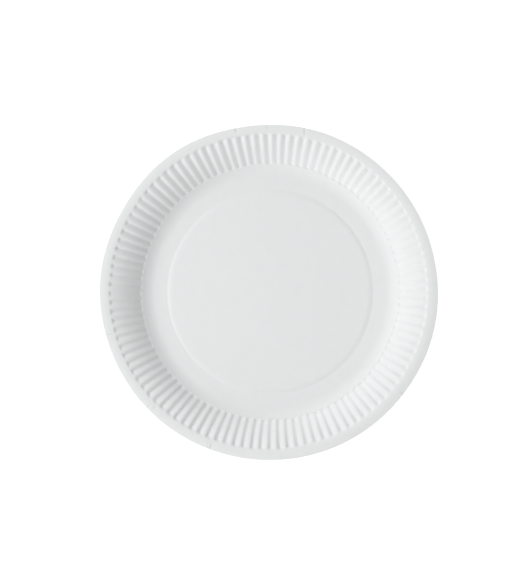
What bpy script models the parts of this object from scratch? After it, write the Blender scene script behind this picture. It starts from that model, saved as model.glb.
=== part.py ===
# Pressed paper plate: one round sheet of white board, moulded between heated dies.
# Its section is a chain of tangent arcs, and its wall is gathered into radial flutes.
# The underside of the flat foot ring lies on z = 0, and the plate's axis is Z.

import math

import bmesh
import bpy

MM = 0.001

# Sheet
PLATE_RADIUS = 115.0 * MM
BOARD_THICKNESS = 0.4 * MM

# Well: a crowned centre disc, whose border drops to the flat ring that the plate stands on
DISC_RADIUS = 67.5 * MM
DISC_SLOPE = math.radians(-2.5)
BORDER_RADIUS = 70.2 * MM
BORDER_SLOPE = math.radians(-16.0)
FOOT_INNER_RADIUS = 71.4 * MM
FOOT_OUTER_RADIUS = 79.6 * MM

# Wall: a hollow curve up to its steepest point, then a full round curve up to the lip
STEEPEST_RADIUS = 90.6 * MM
STEEPEST_SLOPE = math.radians(45.5)
LIP_RADIUS = 107.4 * MM
LIP_SLOPE = math.radians(14.0)

# Lip: rolls over its crest and slopes down to the cut edge
EDGE_SLOPE = math.radians(-10.0)

# Flutes: grooves pressed below the wall, with ribs between them that stay at its level
FLUTE_COUNT = 108
FIRST_RIB_ANGLE = math.radians(2.2)
GROOVE_DEPTH_INNER = 0.45 * MM
GROOVE_DEPTH_OUTER = 1.0 * MM
GROOVE_FULLNESS = 0.6  # 1 is a sine wave, and less than 1 makes the grooves wider than the ribs

# Facets: one column of faces per flute where the sheet is smooth, and more where it is fluted
EXTRA_COLUMNS_PER_FLUTE = 3
CROWN_STEPS = 2
BORDER_STEPS = 1
HOLLOW_STEPS = 4
ROUND_STEPS = 3
LIP_STEPS = 3

MERGE_DISTANCE = 0.01 * MM
SHARP_EDGE_ANGLE = math.radians(70.0)

PAPER_COLOUR = (0.83, 0.84, 0.84, 1.0)
PAPER_ROUGHNESS = 0.75


class Station:
    """A point of the section: its distance from the axis, height, slope, and groove depth."""

    def __init__(self, radius, height, slope, groove_depth=0.0):
        self.radius = radius
        self.height = height
        self.slope = slope
        self.groove_depth = groove_depth


def arc(start, end_radius, end_slope, steps):
    """Stations along the arc that leaves start at its slope and has end_slope at end_radius."""
    bend_radius = (end_radius - start.radius) / (math.sin(end_slope) - math.sin(start.slope))
    stations = []
    for step in range(1, steps + 1):
        slope = start.slope + (end_slope - start.slope) * step / steps
        radius = start.radius + bend_radius * (math.sin(slope) - math.sin(start.slope))
        height = start.height - bend_radius * (math.cos(slope) - math.cos(start.slope))
        stations.append(Station(radius, height, slope))
    return stations


def section():
    """The underside of the sheet, from the axis out to the cut edge, standing on z = 0."""
    stations = [Station(0.0, 0.0, 0.0)]
    stations += arc(stations[-1], DISC_RADIUS, DISC_SLOPE, CROWN_STEPS)
    stations += arc(stations[-1], BORDER_RADIUS, BORDER_SLOPE, BORDER_STEPS)
    stations += arc(stations[-1], FOOT_INNER_RADIUS, 0.0, BORDER_STEPS)
    stations.append(Station(FOOT_OUTER_RADIUS, stations[-1].height, 0.0))
    stations += arc(stations[-1], STEEPEST_RADIUS, STEEPEST_SLOPE, HOLLOW_STEPS)
    stations += arc(stations[-1], LIP_RADIUS, LIP_SLOPE, ROUND_STEPS)
    stations += arc(stations[-1], PLATE_RADIUS, EDGE_SLOPE, LIP_STEPS)
    foot_height = min(station.height for station in stations)
    for station in stations:
        station.height -= foot_height
        station.groove_depth = groove_depth(station.radius)
    return stations


def groove_depth(radius):
    """Depth of the grooves at their middle: none off the wall, and deeper towards the lip."""
    outward = (radius - STEEPEST_RADIUS) / (LIP_RADIUS - STEEPEST_RADIUS)
    if outward < 0 or outward > 1:
        return 0.0
    return GROOVE_DEPTH_INNER + (GROOVE_DEPTH_OUTER - GROOVE_DEPTH_INNER) * outward


def groove_share(angle):
    """0 on a rib's crest and 1 in the middle of a groove."""
    wave = 0.5 - 0.5 * math.cos(FLUTE_COUNT * angle)
    return wave**GROOVE_FULLNESS


def turned_sheet(stations):
    """Open surface turned from the section, with a line of edges along the crest of each rib."""
    sheet = bmesh.new()
    points = [sheet.verts.new((station.radius, 0.0, station.height)) for station in stations]
    lines = [sheet.edges.new(pair) for pair in zip(points, points[1:])]
    bmesh.ops.spin(
        sheet,
        geom=points + lines,
        axis=(0.0, 0.0, 1.0),
        cent=(0.0, 0.0, 0.0),
        angle=math.tau,
        steps=FLUTE_COUNT,
        use_merge=True,
    )
    bmesh.ops.remove_doubles(sheet, verts=sheet.verts, dist=MERGE_DISTANCE)
    sheet.normal_update()
    if sum(face.normal.z for face in sheet.faces) < 0:
        bmesh.ops.reverse_faces(sheet, faces=sheet.faces)
    return sheet


def station_at(stations, point):
    """The station whose circle the point lies on, or nearly so on a chord of it."""
    radius = math.hypot(point.x, point.y)
    return min(stations, key=lambda station: abs(station.radius - radius))


def press_flutes(sheet, stations):
    """Divides the fluted circles into more columns, and presses the grooves in along the normal."""
    fluted_edges = []
    for edge in sheet.edges:
        start, end = (station_at(stations, corner.co) for corner in edge.verts)
        if start is end and start.groove_depth > 0:
            fluted_edges.append(edge)
    bmesh.ops.subdivide_edges(
        sheet, edges=fluted_edges, cuts=EXTRA_COLUMNS_PER_FLUTE, use_single_edge=True
    )
    for corner in sheet.verts:
        station = station_at(stations, corner.co)
        if station.groove_depth == 0:
            continue
        angle = math.atan2(corner.co.y, corner.co.x)
        depth = station.groove_depth * groove_share(angle)
        radius = station.radius + depth * math.sin(station.slope)
        corner.co.x = radius * math.cos(angle)
        corner.co.y = radius * math.sin(angle)
        corner.co.z = station.height - depth * math.cos(station.slope)


def paper():
    material = bpy.data.materials.new("white_board")
    material.use_nodes = True
    shader = material.node_tree.nodes["Principled BSDF"]
    shader.inputs["Base Color"].default_value = PAPER_COLOUR
    shader.inputs["Roughness"].default_value = PAPER_ROUGHNESS
    shader.inputs["Metallic"].default_value = 0.0
    material.diffuse_color = PAPER_COLOUR
    return material


def build_plate(collection):
    stations = section()
    sheet = turned_sheet(stations)
    press_flutes(sheet, stations)
    mesh = bpy.data.meshes.new("plate")
    sheet.to_mesh(mesh)
    sheet.free()
    mesh.materials.append(paper())
    mesh.shade_smooth()
    mesh.set_sharp_from_angle(angle=SHARP_EDGE_ANGLE)

    plate = bpy.data.objects.new("plate", mesh)
    plate.rotation_euler.z = FIRST_RIB_ANGLE
    collection.objects.link(plate)
    board = plate.modifiers.new("board_thickness", "SOLIDIFY")
    board.thickness = BOARD_THICKNESS
    board.offset = 1.0
    board.use_even_offset = True
    board.use_quality_normals = True


def clear_scene():
    for old in list(bpy.data.objects):
        bpy.data.objects.remove(old, do_unlink=True)


def main():
    clear_scene()
    collection = bpy.data.collections.new("paper_plate")
    bpy.context.scene.collection.children.link(collection)
    build_plate(collection)


main()
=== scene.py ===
import math
import random

import bmesh
import bpy
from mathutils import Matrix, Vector, noise


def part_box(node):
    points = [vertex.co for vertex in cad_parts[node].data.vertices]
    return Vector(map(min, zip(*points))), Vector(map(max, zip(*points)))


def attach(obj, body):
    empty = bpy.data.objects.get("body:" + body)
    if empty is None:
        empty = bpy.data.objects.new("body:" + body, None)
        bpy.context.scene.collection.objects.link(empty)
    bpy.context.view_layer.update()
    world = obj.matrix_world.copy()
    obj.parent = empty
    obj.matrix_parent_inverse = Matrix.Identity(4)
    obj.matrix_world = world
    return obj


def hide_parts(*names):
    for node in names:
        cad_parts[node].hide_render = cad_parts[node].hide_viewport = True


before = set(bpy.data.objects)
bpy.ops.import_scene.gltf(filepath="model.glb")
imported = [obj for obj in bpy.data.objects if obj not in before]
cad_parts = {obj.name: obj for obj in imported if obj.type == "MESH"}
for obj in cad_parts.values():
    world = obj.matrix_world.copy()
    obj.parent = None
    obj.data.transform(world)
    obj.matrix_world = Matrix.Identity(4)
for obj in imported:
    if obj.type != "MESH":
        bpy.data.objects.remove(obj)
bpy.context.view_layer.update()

# A white paper plate, pressed from one round of board. The sheet is spun from its section, the flutes
# and creases are pressed into it, and the board then gets its thickness.

mm = 0.001
plateLow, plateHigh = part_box("plate")
plateRadius = (plateHigh.x - plateLow.x) / 2

# Each bend of the section is an arc that starts at the slope the last one left. It ends at this share
# of the plate's radius, with this slope in degrees.
sheet = {
    "bends": [
        (0.36, -2.2),     # crown of the centre disc
        (0.5835, -2.5),
        (0.6105, -16.2),  # rounded border
        (0.6175, 0.0),    # embossed line
        (0.692, 0.0),     # flat foot ring
        (0.7875, 45.5),   # hollow curve, steepest at its end
        (0.931, 15.5),    # full curve of the wall
        (0.940, 7.0),     # ends of the ribs
        (0.960, 2.6),
        (0.984, -6.3),    # lip, over its crest
        (1.0, -7.5),      # down to the cut edge
    ],
    # gap in mm between the mesh's rows, out to each share of the radius
    "rowSpacing": [(0.5, 8.5), (0.57, 2.2), (0.625, 0.45), (0.68, 2.2), (0.757, 1.1),
                   (0.784, 0.30), (0.92, 1.6), (0.958, 0.38), (1.0, 0.8)],
    "leastRow": 0.3 * mm,       # a last row that is narrower is left out
    "mergeGap": 0.01 * mm,
    "columnsInWell": 108,
    "cutsInWall": 8,            # cuts across each column of the well where it enters the wall
    "wallStart": 0.748,         # share of the radius where those cuts begin
    "oval": 0.004,              # the sheet has sprung this much longer along X and shorter along Y
    "board": 0.4 * mm,
    "edgeRounding": 0.09 * mm,
    "roundingSteps": 2,
    "sharpAngle": 70,           # degrees, above which an edge is the cut edge
}

flutes = {
    "count": 108,
    "firstGroove": 0.42,        # degrees from +X
    "drift": 0.52,              # degrees that the grooves drift by, one way and then the other
    "driftPeak": 247.0,
    "innerEnd": 0.7660,         # shares of the plate's radius
    "outerEnd": 0.9502,
    "innerShift": (0.18 * mm, 0.14 * mm),    # the die's rings of ends sat a little off centre
    "outerShift": (-0.31 * mm, 0.11 * mm),
    "innerDepth": 0.43 * mm,
    "outerDepth": 1.01 * mm,
    "deepening": 1.25,          # above 1, the depth grows faster towards the lip
    "tipDepth": 0.85 * mm,      # how much deeper a groove is at its very tip by the lip
    "tipDeepening": 13.0,
    "startDepth": 0.42 * mm,    # and at its very start
    "startDeepening": 16.0,
    "innerRunOut": 0.95 * mm,   # length over which a groove ends
    "outerRunOut": 2.7 * mm,
    "innerSquareness": 2.8,     # 2 is a round end
    "outerSquareness": 2.8,
    "lean": 0.24,               # a groove is this share wider after its middle and narrower before
    "shiftSpread": 0.022,       # of the pitch
    "endSpread": 0.09 * mm,
    "depthSpread": 0.06,
    "seed": 11,
}

rim = {
    # the round is cut a little out of true: waves per turn, height in mm, angle of the first peak
    "wander": [(1, 0.655, -94.0), (2, 0.345, -46.5), (5, 0.12, -19.0), (6, 0.16, 0.6),
               (7, 0.13, 24.0), (8, 0.10, -10.7)],
    "wanderStart": 0.9,         # share of the radius
    # the lip droops more on one side: waves per turn, degrees, angle of the first peak
    "droop": [(1, 2.2, -75.0), (2, 1.3, -52.0)],
    "lipStart": 0.9515,         # share of the radius
    # fine folds where the lip was gathered: angle, depth in mm, slant in degrees over the lip, width
    # in mm of the flanks before and after the fold, the shares of the lip where it starts and ends,
    # and how dark the painted shade laid along its cleft is
    "creases": [
        (77.2, 0.25, 0.5, 1.8, 0.6, 0.0, 1.2, 0.18),
        (90.45, 0.14, 0.1, 1.2, 0.6, 0.35, 1.2, 0.14),
        (101.3, 0.30, 0.1, 1.5, 0.6, 0.3, 1.2, 0.28),
        (142.9, 0.14, 0.3, 1.2, 0.6, 0.2, 1.2, 0.0),
        (195.3, 0.16, -0.3, 0.6, 0.6, 0.0, 1.2, 0.11),
        (224.05, 0.16, -0.1, 0.6, 0.9, 0.35, 1.2, 0.15),
        (225.7, 0.18, -0.2, 0.6, 0.9, -0.3, 0.7, 0.18),
        (248.25, -0.26, 1.0, 0.6, 0.6, 0.0, 1.2, 0.0),
        (249.85, 0.28, -0.3, 0.6, 0.9, 0.25, 1.2, 0.26),
        (274.5, 0.10, 0.1, 0.6, 0.9, 0.5, 1.2, 0.08),
        (322.2, 0.16, 0.2, 0.6, 0.9, 0.5, 1.2, 0.18),
    ],
    "creaseReach": 1.5,         # degrees each side of a crease over which the mesh leans with it
    "leanIn": 0.25,             # share of the lip over which that lean starts
    "creaseFade": 0.2,          # share of the lip over which a crease starts or ends
    "paintedShadeWidth": 0.6,          # mm each side of a crease over which the painted shade in its cleft fades out
}

unevenness = {
    "swell": 0.05 * mm,
    "swellScale": 22,           # per metre
    "ripple": 0.012 * mm,
    "rippleScale": 90,
    "rippleOffset": (3, 1, 7),  # so that the ripple's noise starts elsewhere than the swell's
    "heldRing": 0.655,          # share of the radius that the die held flat
    "heldReach": 0.05,          # share of the radius each side of it over which the swell comes in
}


def makeSection():
    # the chain of arcs from the axis out to the cut edge
    arcs = []
    radius, height, slope, along = 0.0, 0.0, 0.0, 0.0
    for share, endDegrees in sheet["bends"]:
        endRadius = share * plateRadius
        endSlope = math.radians(endDegrees)
        if endSlope == slope:
            curve = 0.0
            length = (endRadius - radius) / math.cos(slope)
        else:
            curve = (math.sin(endSlope) - math.sin(slope)) / (endRadius - radius)
            length = (endSlope - slope) / curve
        arcs.append({"radius": radius, "height": height, "slope": slope, "along": along,
                     "curve": curve, "length": length})
        radius, height, slope = pointOnArc(arcs[-1], length)
        along += length
    return arcs


def pointOnArc(arc, distance):
    # radius, height and slope
    slope = arc["slope"] + arc["curve"] * distance
    if arc["curve"] == 0:
        return (arc["radius"] + distance * math.cos(slope), arc["height"] + distance * math.sin(slope),
                slope)
    radius = arc["radius"] + (math.sin(slope) - math.sin(arc["slope"])) / arc["curve"]
    height = arc["height"] - (math.cos(slope) - math.cos(arc["slope"])) / arc["curve"]
    return radius, height, slope


def sectionAt(arcs, along):
    # the same at a distance along the whole section
    arc = next((arc for arc in reversed(arcs) if along >= arc["along"]), arcs[0])
    return pointOnArc(arc, along - arc["along"])


def makeRows(arcs):
    # distances along the section at which the sheet has a ring of corners
    total = arcs[-1]["along"] + arcs[-1]["length"]
    rows = [0.0]
    while rows[-1] < total:
        radius = sectionAt(arcs, rows[-1])[0]
        spacing = next((gap for share, gap in sheet["rowSpacing"] if radius < share * plateRadius),
                       sheet["rowSpacing"][-1][1])
        rows.append(rows[-1] + spacing * mm)
    rows[-1] = total
    if rows[-1] - rows[-2] < sheet["leastRow"]:
        rows.pop(-2)
    return rows


def eccentric(shift, angle):
    # how much further out a ring lies at this angle once it has moved by the shift
    return shift[0] * math.cos(angle) + shift[1] * math.sin(angle)


def makeFlutes():
    # every flute is a little different, as the board gathers by itself between the dies
    chance = random.Random(flutes["seed"])
    made = []
    for count in range(flutes["count"]):
        angle = math.tau * count / flutes["count"]
        made.append({
            "shift": chance.gauss(0, flutes["shiftSpread"]),
            "twist": chance.gauss(0, flutes["shiftSpread"]),
            "inner": chance.gauss(0, flutes["endSpread"]),
            "outer": chance.gauss(0, flutes["endSpread"]),
            "depth": 1 + chance.gauss(0, flutes["depthSpread"]),
            "innerShift": eccentric(flutes["innerShift"], angle),
            "outerShift": eccentric(flutes["outerShift"], angle),
        })
    return made


def oneGroove(flute, across, radius):
    # The depth at one groove: across is the distance from its middle, in pitches. The floor is flat in
    # the middle and rounds up to nothing at the flanks and the two ends.
    inner = flutes["innerEnd"] * plateRadius + flute["innerShift"]
    outer = flutes["outerEnd"] * plateRadius + flute["outerShift"]
    outward = min(max((radius - inner) / (outer - inner), 0.0), 1.0)
    across -= flute["shift"] + flute["twist"] * (outward - 0.5)
    flank = 1 + flutes["lean"] if across > 0 else 1 - flutes["lean"]
    sideways = abs(across) * 2 / flank
    pastInner = (inner + flute["inner"] - radius) / flutes["innerRunOut"] + 1
    pastOuter = (radius - outer - flute["outer"]) / flutes["outerRunOut"] + 1
    lengthways = max(pastInner, pastOuter, 0.0)
    squareness = flutes["innerSquareness" if pastInner > pastOuter else "outerSquareness"]
    away = min((sideways ** squareness + lengthways ** squareness) ** (1 / squareness), 1.0)
    depth = flutes["outerDepth"] - flutes["innerDepth"]
    depth = flutes["innerDepth"] + depth * outward ** flutes["deepening"]
    depth += flutes["tipDepth"] * outward ** flutes["tipDeepening"]
    depth += flutes["startDepth"] * (1 - outward) ** flutes["startDeepening"]
    return depth * flute["depth"] * (0.5 + 0.5 * math.cos(math.pi * away))


def grooveDepth(fluteList, radius, angle):
    # the deeper of the two grooves that lie nearest
    drift = flutes["drift"] * math.cos(angle - math.radians(flutes["driftPeak"]))
    turn = (math.degrees(angle) - flutes["firstGroove"] - drift) * flutes["count"] / 360
    before = math.floor(turn)
    return max(oneGroove(fluteList[(before + step) % flutes["count"]], turn - before - step, radius)
               for step in (0, 1))


def angleBetween(first, second):
    # from -180 to 180 degrees
    return (first - second + 180) % 360 - 180


def acrossLip(radius):
    # 0 at the ends of the flutes and 1 at the cut edge
    return (radius / plateRadius - rim["lipStart"]) / (1 - rim["lipStart"])


def leanColumn(radius, angle):
    # turns the mesh's columns, so that one of them runs down each crease
    across = acrossLip(radius)
    if across <= 0:
        return angle
    column = 360 / (sheet["columnsInWell"] * (sheet["cutsInWall"] + 1))
    for degrees, _, slant, *_ in rim["creases"]:
        away = angleBetween(math.degrees(angle), degrees)
        follow = max(0.0, 1 - abs(away) / rim["creaseReach"]) * min(1.0, across / rim["leanIn"])
        toColumn = degrees - column * round(degrees / column)
        angle += math.radians((slant * (across - 0.5) + toColumn) * follow)
    return angle


def creasesAt(radius, angle):
    # the depth of the folds across the lip, and the painted shade that darkens their clefts
    across = acrossLip(radius)
    depth, paintedCreaseShade = 0.0, 0.0
    if across <= 0:
        return depth, paintedCreaseShade
    for degrees, deep, slant, before, after, start, end, paintedShadeStrength in rim["creases"]:
        distance = angleBetween(math.degrees(angle), degrees + slant * (across - 0.5))
        distance *= math.radians(1) * radius / mm   # now in mm
        width = after if distance > 0 else before
        fade = min(max(min(across - start, end - across) / rim["creaseFade"], 0.0), 1.0)
        depth += deep * mm * max(0.0, 1 - abs(distance) / width) * fade
        # painted shade: a dark line down the middle of each crease, in place of the shadow in its
        # cleft
        paintedCreaseShade += paintedShadeStrength * max(0.0, 1 - abs(distance) / rim["paintedShadeWidth"]) * fade
    return depth, paintedCreaseShade


def rimWanderAt(angle):
    # how much further out the cut edge lies
    return sum(height * mm * math.cos(waves * (angle - math.radians(peak)))
               for waves, height, peak in rim["wander"])


def droopAt(radius, angle):
    # how much lower the lip hangs
    droop = sum(degrees * math.cos(waves * (angle - math.radians(peak)))
                for waves, degrees, peak in rim["droop"])
    return max(0.0, radius - rim["lipStart"] * plateRadius) * math.tan(math.radians(droop))


def swellAt(radius, angle):
    # the die held the sheet flat on the foot ring, and it came out uneven elsewhere
    spot = Vector((math.cos(angle), math.sin(angle), 0)) * radius
    swell = noise.noise(spot * unevenness["swellScale"]) * unevenness["swell"]
    offset = Vector(unevenness["rippleOffset"])
    swell += noise.noise(spot * unevenness["rippleScale"] + offset) * unevenness["ripple"]
    away = abs(radius / plateRadius - unevenness["heldRing"])
    return swell * min(1.0, away / unevenness["heldReach"])


def placeCorner(arcs, fluteList, along, angle):
    # where a corner of the spun sheet goes, and the painted shade that darkens the crease cleft at it
    radius, height, slope = sectionAt(arcs, along)
    angle = leanColumn(radius, angle)
    fold, paintedCreaseShade = creasesAt(radius, angle)
    droop = droopAt(radius, angle)
    push = swellAt(radius, angle) - grooveDepth(fluteList, radius, angle) - fold
    outward = max(0.0, radius / plateRadius - rim["wanderStart"]) / (1 - rim["wanderStart"])
    radius += rimWanderAt(angle) * outward - push * math.sin(slope)
    height += push * math.cos(slope) - droop
    place = Vector((radius * math.cos(angle) * (1 + sheet["oval"]),
                    radius * math.sin(angle) * (1 - sheet["oval"]), height))
    return place, paintedCreaseShade


def spinSheet(arcs, rows):
    # each corner keeps its distance along the section, which the pressing reads later
    mesh = bmesh.new()
    alongLayer = mesh.verts.layers.float.new("along")
    points = []
    for along in rows:
        radius, height, _ = sectionAt(arcs, along)
        point = mesh.verts.new((radius, 0, height))
        point[alongLayer] = along
        points.append(point)
    lines = [mesh.edges.new(pair) for pair in zip(points, points[1:])]
    bmesh.ops.spin(mesh, geom=points + lines, axis=(0, 0, 1), cent=(0, 0, 0), angle=math.tau,
                   steps=sheet["columnsInWell"], use_merge=True)
    bmesh.ops.remove_doubles(mesh, verts=mesh.verts, dist=sheet["mergeGap"])
    return mesh


def cutWallColumns(mesh, arcs, rows):
    alongLayer = mesh.verts.layers.float["along"]
    wallAlong = next(along for along in rows
                     if sectionAt(arcs, along)[0] > sheet["wallStart"] * plateRadius)
    ringEdges = [edge for edge in mesh.edges
                 if abs(edge.verts[0][alongLayer] - edge.verts[1][alongLayer]) < sheet["mergeGap"]
                 and edge.verts[0][alongLayer] > wallAlong - sheet["mergeGap"]]
    bmesh.ops.subdivide_edges(mesh, edges=ringEdges, cuts=sheet["cutsInWall"], use_single_edge=True)


def pressSheet(mesh, arcs, rows):
    # moves every corner to its place on the pressed sheet, which stands on its foot ring
    foot = min(sectionAt(arcs, along)[1] for along in rows)
    alongLayer = mesh.verts.layers.float["along"]
    # painted shade for the creases' clefts, kept on the corners for the material to read
    paintedCreaseShadeLayer = mesh.verts.layers.float.new("paintedCreaseShade")
    fluteList = makeFlutes()
    for corner in mesh.verts:
        angle = math.atan2(corner.co.y, corner.co.x)
        corner.co, corner[paintedCreaseShadeLayer] = placeCorner(arcs, fluteList, corner[alongLayer], angle)
        corner.co.z -= foot
    bmesh.ops.recalc_face_normals(mesh, faces=mesh.faces)
    if sum(face.normal.z for face in mesh.faces) < 0:
        bmesh.ops.reverse_faces(mesh, faces=mesh.faces)


def thickenBoard(plate):
    board = plate.modifiers.new("board", "SOLIDIFY")
    board.thickness = sheet["board"]
    board.offset = 1
    board.use_even_offset = True
    rounding = plate.modifiers.new("cutEdge", "BEVEL")
    rounding.width = sheet["edgeRounding"]
    rounding.segments = sheet["roundingSteps"]
    rounding.limit_method = "ANGLE"
    rounding.angle_limit = math.radians(sheet["sharpAngle"])


def makePlate():
    arcs = makeSection()
    rows = makeRows(arcs)
    mesh = spinSheet(arcs, rows)
    cutWallColumns(mesh, arcs, rows)
    pressSheet(mesh, arcs, rows)
    data = bpy.data.meshes.new("pressedPlate")
    mesh.to_mesh(data)
    mesh.free()
    data.shade_smooth()
    data.set_sharp_from_angle(angle=math.radians(sheet["sharpAngle"]))
    plate = bpy.data.objects.new("pressedPlate", data)
    bpy.context.scene.collection.objects.link(plate)
    thickenBoard(plate)
    print("plate pressed:", len(rows), "rows,", len(data.polygons), "faces on one side")
    return plate


class Wire:
    # a value that flows out of a node, so that sums on it add their own Math nodes
    def __init__(self, finish, socket):
        self.finish = finish
        self.socket = socket

    def maths(self, operation, first, second):
        return self.finish.node("ShaderNodeMath", {"operation": operation}, {0: first, 1: second})

    def __add__(self, other):
        return self.maths("ADD", self, other)

    def __sub__(self, other):
        return self.maths("SUBTRACT", self, other)

    def __rsub__(self, other):
        return self.maths("SUBTRACT", other, self)

    def __mul__(self, other):
        return self.maths("MULTIPLY", self, other)

    __radd__ = __add__
    __rmul__ = __mul__


class Finish:
    # a new material, and the one way that nodes are added to it
    def __init__(self, name):
        self.material = bpy.data.materials.new(name)
        self.material.use_nodes = True
        self.tree = self.material.node_tree
        self.shader = self.tree.nodes["Principled BSDF"]

    def feed(self, socket, value):
        if isinstance(value, Wire):
            self.tree.links.new(value.socket, socket)
        else:
            socket.default_value = value

    def node(self, kind, settings, inputs, output=0):
        made = self.tree.nodes.new(kind)
        for name, value in settings.items():
            setattr(made, name, value)
        for name, value in inputs.items():
            self.feed(made.inputs[name], value)
        return Wire(self, made.outputs[output])

    def ramp(self, value, low, high):
        # 0 below low, 1 above high, and smooth between them
        return self.node("ShaderNodeMapRange", {"interpolation_type": "SMOOTHSTEP"},
                         {"Value": value, "From Min": low, "From Max": high})

    def tint(self, share, first, second):
        # the colour inputs of a Mix node come after its number and vector inputs
        return self.node("ShaderNodeMix", {"data_type": "RGBA"}, {0: share, 6: first, 7: second}, 2)


paper = {
    "colour": (0.779, 0.787, 0.789, 1),
    "cloudTint": (0.769, 0.778, 0.780, 1),
    "rawEdge": (0.775, 0.78, 0.78, 1),
    # painted shade: the colour of the darkened clefts of the lip's creases
    "paintedCreaseShade": (0.16, 0.16, 0.17, 1),
    "roughness": 0.8,
    "specular": 0.12,
    "cloudScale": 170,                    # cells per metre
    "cloudDetail": 3.0,
    "cloudRange": (0.55, 1.05),           # where the tint starts and where it is full
    "fibresInCloud": 0.5,
    "cloudRoughness": 0.2,
    "edgeRamp": (-0.5 * mm, 0.1 * mm),    # where the raw edge starts and is full, from the radius
    "edgeRoughness": 0.15,
    "fibreScale": 2100,
    "fibreStretch": 9,
    "fibreDetail": 2.0,
    "fibreTurns": (20, 83, 141),          # degrees that the three layers of fibres are laid at
    "fibreShare": 0.333,                  # of each of the three in their mean
    "fibreHeight": 0.008 * mm,
    "grainScale": 5200,
    "grainDetail": 2.0,
    "grainHeight": 0.004 * mm,
}


def fibres(finish, position, turn):
    # long thin marks that lie one way: noise pulled out along one axis
    laid = finish.node("ShaderNodeMapping", {},
                       {"Vector": position, "Rotation": (0, 0, math.radians(turn)),
                        "Scale": (paper["fibreScale"] / paper["fibreStretch"], paper["fibreScale"],
                                  paper["fibreScale"])})
    return finish.node("ShaderNodeTexNoise", {},
                       {"Vector": laid, "Scale": 1.0, "Detail": paper["fibreDetail"]})


def whiteBoard():
    finish = Finish("whiteBoard")
    position = finish.node("ShaderNodeTexCoord", {}, {}, "Object")
    flat = finish.node("ShaderNodeVectorMath", {"operation": "MULTIPLY"}, {0: position, 1: (1, 1, 0)})
    radius = finish.node("ShaderNodeVectorMath", {"operation": "LENGTH"}, {0: flat}, "Value")
    cloud = finish.node("ShaderNodeTexNoise", {},
                        {"Vector": position, "Scale": paper["cloudScale"],
                         "Detail": paper["cloudDetail"]})
    grain = finish.node("ShaderNodeTexNoise", {},
                        {"Vector": position, "Scale": paper["grainScale"],
                         "Detail": paper["grainDetail"]})
    first, second, third = (fibres(finish, position, turn) for turn in paper["fibreTurns"])
    fibre = (first + second + third) * paper["fibreShare"]
    inside, outside = paper["edgeRamp"]
    edge = finish.ramp(radius, plateRadius + inside, plateRadius + outside)

    clouded = finish.ramp(cloud + fibre * paper["fibresInCloud"], *paper["cloudRange"])
    colour = finish.tint(clouded, paper["colour"], paper["cloudTint"])
    colour = finish.tint(edge, colour, paper["rawEdge"])
    # painted shade: the creases' clefts are darkened in the base colour, in place of the shadow in
    # folds too fine for the mesh
    paintedCreaseShade = finish.node("ShaderNodeAttribute", {"attribute_name": "paintedCreaseShade"}, {}, "Fac")
    colour = finish.tint(paintedCreaseShade, colour, paper["paintedCreaseShade"])
    finish.feed(finish.shader.inputs["Base Color"], colour)
    finish.feed(finish.shader.inputs["Roughness"],
                paper["roughness"] + (cloud - 0.5) * paper["cloudRoughness"]
                + edge * paper["edgeRoughness"])
    finish.shader.inputs["Specular IOR Level"].default_value = paper["specular"]
    fibreBump = finish.node("ShaderNodeBump", {},
                            {"Height": fibre, "Distance": paper["fibreHeight"], "Strength": 1.0})
    grainBump = finish.node("ShaderNodeBump", {},
                            {"Height": grain, "Distance": paper["grainHeight"], "Strength": 1.0,
                             "Normal": fibreBump})
    finish.feed(finish.shader.inputs["Normal"], grainBump)
    return finish.material


studio = {
    "imageSize": (529, 567),
    "cameraDistance": 1.6,
    "cameraTilt": 5.7,            # degrees away from straight down
    "cameraSide": -34.0,          # degrees from +X, the side it stands on
    "viewWidth": 0.3608,          # at the plate's rim, in metres
    "aim": (-0.00238, 0.00483),   # the middle of the view, level with the rim
    "clipStart": 0.01,
    "floorRadius": 6.0,
    "floorSides": 96,
    "floorGap": 0.05 * mm,        # keeps the floor clear of the foot ring
    "floorColour": (0.22, 0.22, 0.22, 1),
    "floorRoughness": 0.9,
    "glowColour": (1, 1, 1, 1),
    "floorGlow": 0.86,
    "skyColour": (0.995, 1.0, 1.005),
    "skyStrength": 0.297,
    "lampDistance": 6.0,
    # soft lamps, each with its power, width, degrees round from +X and degrees above the floor
    "lamps": [("keyLamp", 206.0, 3.0, 176, 37), ("topLamp", 104.0, 4.0, 87, 21),
              ("bottomLamp", 124.0, 4.0, 269, 22), ("overheadLamp", 63.0, 3.0, 0, 90)],
}


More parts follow.
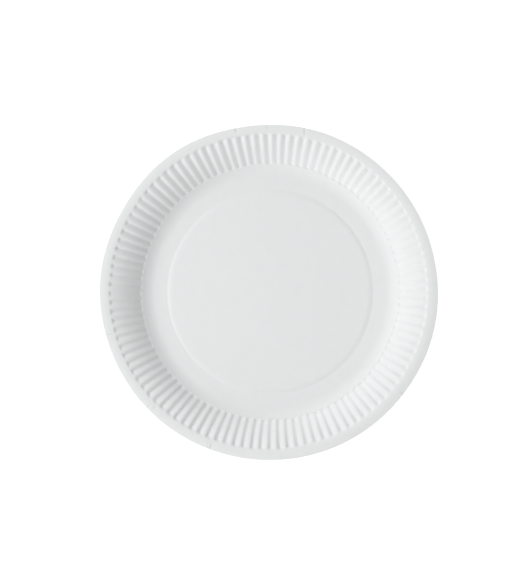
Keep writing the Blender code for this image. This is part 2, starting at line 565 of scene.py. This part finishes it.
def makeFloor():
    mesh = bmesh.new()
    bmesh.ops.create_circle(mesh, cap_ends=True, radius=studio["floorRadius"],
                            segments=studio["floorSides"])
    bmesh.ops.translate(mesh, verts=mesh.verts, vec=(0, 0, plateLow.z - studio["floorGap"]))
    data = bpy.data.meshes.new("floor")
    mesh.to_mesh(data)
    mesh.free()
    finish = Finish("floorWhite")
    finish.shader.inputs["Base Color"].default_value = studio["floorColour"]
    finish.shader.inputs["Roughness"].default_value = studio["floorRoughness"]
    finish.shader.inputs["Emission Color"].default_value = studio["glowColour"]
    finish.shader.inputs["Emission Strength"].default_value = studio["floorGlow"]
    data.materials.append(finish.material)
    floor = bpy.data.objects.new("floor", data)
    bpy.context.scene.collection.objects.link(floor)


def makeSky():
    world = bpy.data.worlds.new("softbox")
    world.use_nodes = True
    sky = world.node_tree.nodes["Background"]
    sky.inputs["Color"].default_value = (*studio["skyColour"], 1)
    sky.inputs["Strength"].default_value = studio["skyStrength"]
    bpy.context.scene.world = world


def makeLamps():
    for name, power, width, turn, above in studio["lamps"]:
        azimuth = math.radians(turn)
        elevation = math.radians(above)
        towards = Vector((math.cos(azimuth) * math.cos(elevation),
                          math.sin(azimuth) * math.cos(elevation), math.sin(elevation)))
        light = bpy.data.lights.new(name, "AREA")
        light.size = width
        light.energy = power
        lamp = bpy.data.objects.new(name, light)
        lamp.location = towards * studio["lampDistance"]
        lamp.rotation_euler = towards.to_track_quat("Z", "Y").to_euler()
        bpy.context.scene.collection.objects.link(lamp)


def makeCamera():
    imageWidth, imageHeight = studio["imageSize"]
    lens = bpy.data.cameras.new("camera")
    distance = studio["cameraDistance"]
    viewHeight = studio["viewWidth"] * imageHeight / imageWidth
    lens.lens = lens.sensor_width * distance / viewHeight   # the taller side spans the sensor's width
    lens.clip_start = studio["clipStart"]
    tilt = math.radians(studio["cameraTilt"])
    side = math.radians(studio["cameraSide"])
    back = Vector((math.sin(tilt) * math.cos(side), math.sin(tilt) * math.sin(side), math.cos(tilt)))
    camera = bpy.data.objects.new("camera", lens)
    camera.location = Vector((*studio["aim"], plateHigh.z)) + back * distance
    camera.rotation_euler = (math.asin(-back.y), math.atan2(back.x, back.z), 0)
    bpy.context.scene.collection.objects.link(camera)
    bpy.context.scene.camera = camera


plate = makePlate()
plate.data.materials.append(whiteBoard())
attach(plate, "root")
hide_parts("plate")
makeFloor()
makeSky()
makeLamps()
makeCamera()
bpy.context.scene.view_settings.view_transform = "Standard"
print("studio ready")
